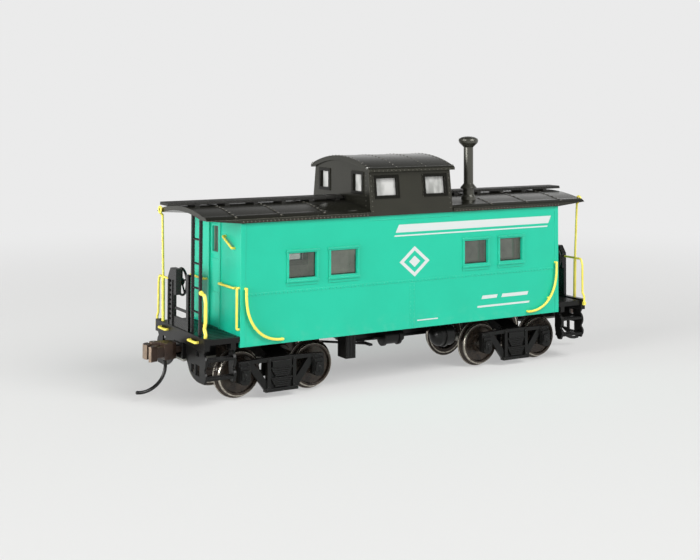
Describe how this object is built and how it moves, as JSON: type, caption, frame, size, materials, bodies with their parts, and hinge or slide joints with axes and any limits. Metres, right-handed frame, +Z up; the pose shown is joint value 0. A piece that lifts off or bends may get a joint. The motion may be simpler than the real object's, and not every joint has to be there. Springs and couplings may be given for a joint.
{
  "type": "model railway caboose",
  "caption": "HO model of a steel caboose: boxy body with a cupola, end platforms with ladders and handrails, steps, swivelling trucks and knuckle couplers.",
  "frame": {"origin": "middle of the car, midway between the rails, at the height of the rail tops", "axes": "+X along the track towards the B end, +Y across the car to its left when facing +X, +Z up"},
  "size_m": [0.1368, 0.0326, 0.0623],
  "materials": {
    "green_paint": "semi-gloss painted plastic, jade green",
    "roof_black": "semi-gloss moulded black plastic",
    "window_clear": "clear moulded window plastic",
    "frame_black": "matt moulded black plastic",
    "lid_grey": "matt grey plastic",
    "fitting_black": "satin moulded black plastic",
    "rail_yellow": "gloss yellow painted",
    "coupler_brown": "matt brown plastic",
    "pin_black": "gloss black steel",
    "pin_steel": "bright steel",
    "weight_steel": "dull steel plate",
    "wheel_metal": "turned and blackened metal",
    "axle_steel": "turned steel",
    "bush_black": "black insulating plastic"
  },
  "bodies": {
    "car": {"body_shell": "green_paint", "roof": "roof_black", "running_boards": "roof_black", "smokejack": "roof_black", "cupola_shell": "roof_black", "cupola_roof": "roof_black", "cupola_glazing": "window_clear", "side_glazing": "window_clear", "door_glazing": "window_clear", "underframe": "frame_black", "air_reservoir": "frame_black", "brake_cylinder": "frame_black", "battery_box": "frame_black", "brake_rods": "frame_black", "step_a_left": "frame_black", "step_a_right": "frame_black", "step_b_left": "frame_black", "step_b_right": "frame_black", "draft_box_a": "frame_black", "draft_box_b": "frame_black", "draft_lid_a": "lid_grey", "draft_lid_b": "lid_grey", "ladder_a": "fitting_black", "ladder_b": "fitting_black", "brake_stand_a": "fitting_black", "brake_stand_b": "fitting_black", "end_rail_a": "fitting_black", "end_rail_b": "fitting_black", "tall_handrails": "rail_yellow", "corner_handrails": "rail_yellow", "beam_handles": "rail_yellow", "end_wall_grab_irons": "rail_yellow", "side_grab_irons": "rail_yellow", "truck_screws": "pin_steel", "draft_box_screws": "pin_steel", "steel_weight": "weight_steel"},
    "truck_a": {"truck_frame_a": "frame_black"},
    "wheelset_a1": {"axle_a1": "axle_steel", "wheels_a1": "wheel_metal", "wheel_bush_a1": "bush_black"},
    "wheelset_a2": {"axle_a2": "axle_steel", "wheels_a2": "wheel_metal", "wheel_bush_a2": "bush_black"},
    "coupler_head_a": {"coupler_a": "coupler_brown", "knuckle_pin_a": "pin_steel", "trip_pin_a": "pin_black"},
    "jaw_a": {"knuckle_a": "coupler_brown"},
    "hand_wheel_a": {"brake_wheel_a": "fitting_black"},
    "truck_b": {"truck_frame_b": "frame_black"},
    "wheelset_b1": {"axle_b1": "axle_steel", "wheels_b1": "wheel_metal", "wheel_bush_b1": "bush_black"},
    "wheelset_b2": {"axle_b2": "axle_steel", "wheels_b2": "wheel_metal", "wheel_bush_b2": "bush_black"},
    "coupler_head_b": {"coupler_b": "coupler_brown", "knuckle_pin_b": "pin_steel", "trip_pin_b": "pin_black"},
    "jaw_b": {"knuckle_b": "coupler_brown"},
    "hand_wheel_b": {"brake_wheel_b": "fitting_black"}
  },
  "joints": [
    {"name": "truck_a_swivel", "type": "hinge", "parent": "car", "child": "truck_a", "pos_m": [-0.0358, 0, 0.0112], "axis": [0, 0, 1], "range_deg": [-8, 8]},
    {"name": "wheelset_a1_spin", "type": "hinge", "parent": "truck_a", "child": "wheelset_a1", "pos_m": [-0.0258, 0, 0.00555], "axis": [0, 1, 0], "continuous": true},
    {"name": "wheelset_a2_spin", "type": "hinge", "parent": "truck_a", "child": "wheelset_a2", "pos_m": [-0.0458, 0, 0.00555], "axis": [0, 1, 0], "continuous": true},
    {"name": "coupler_a_swing", "type": "hinge", "parent": "car", "child": "coupler_head_a", "pos_m": [-0.0535, 0, 0.0111], "axis": [0, 0, 1], "range_deg": [-10, 10]},
    {"name": "knuckle_a_open", "type": "hinge", "parent": "coupler_head_a", "child": "jaw_a", "pos_m": [-0.0632, 0.002, 0.0111], "axis": [0, 0, 1], "range_deg": [-25, 0]},
    {"name": "brake_wheel_a_turn", "type": "hinge", "parent": "car", "child": "hand_wheel_a", "pos_m": [-0.05495, 0.0049, 0.0264], "axis": [1, 0, 0], "continuous": true},
    {"name": "truck_b_swivel", "type": "hinge", "parent": "car", "child": "truck_b", "pos_m": [0.0358, 0, 0.0112], "axis": [0, 0, 1], "range_deg": [-8, 8]},
    {"name": "wheelset_b1_spin", "type": "hinge", "parent": "truck_b", "child": "wheelset_b1", "pos_m": [0.0258, 0, 0.00555], "axis": [0, 1, 0], "continuous": true},
    {"name": "wheelset_b2_spin", "type": "hinge", "parent": "truck_b", "child": "wheelset_b2", "pos_m": [0.0458, 0, 0.00555], "axis": [0, 1, 0], "continuous": true},
    {"name": "coupler_b_swing", "type": "hinge", "parent": "car", "child": "coupler_head_b", "pos_m": [0.0535, 0, 0.0111], "axis": [0, 0, 1], "range_deg": [-10, 10]},
    {"name": "knuckle_b_open", "type": "hinge", "parent": "coupler_head_b", "child": "jaw_b", "pos_m": [0.0632, -0.002, 0.0111], "axis": [0, 0, 1], "range_deg": [-25, 0]},
    {"name": "brake_wheel_b_turn", "type": "hinge", "parent": "car", "child": "hand_wheel_b", "pos_m": [0.05495, -0.0049, 0.0264], "axis": [1, 0, 0], "continuous": true}
  ]
}
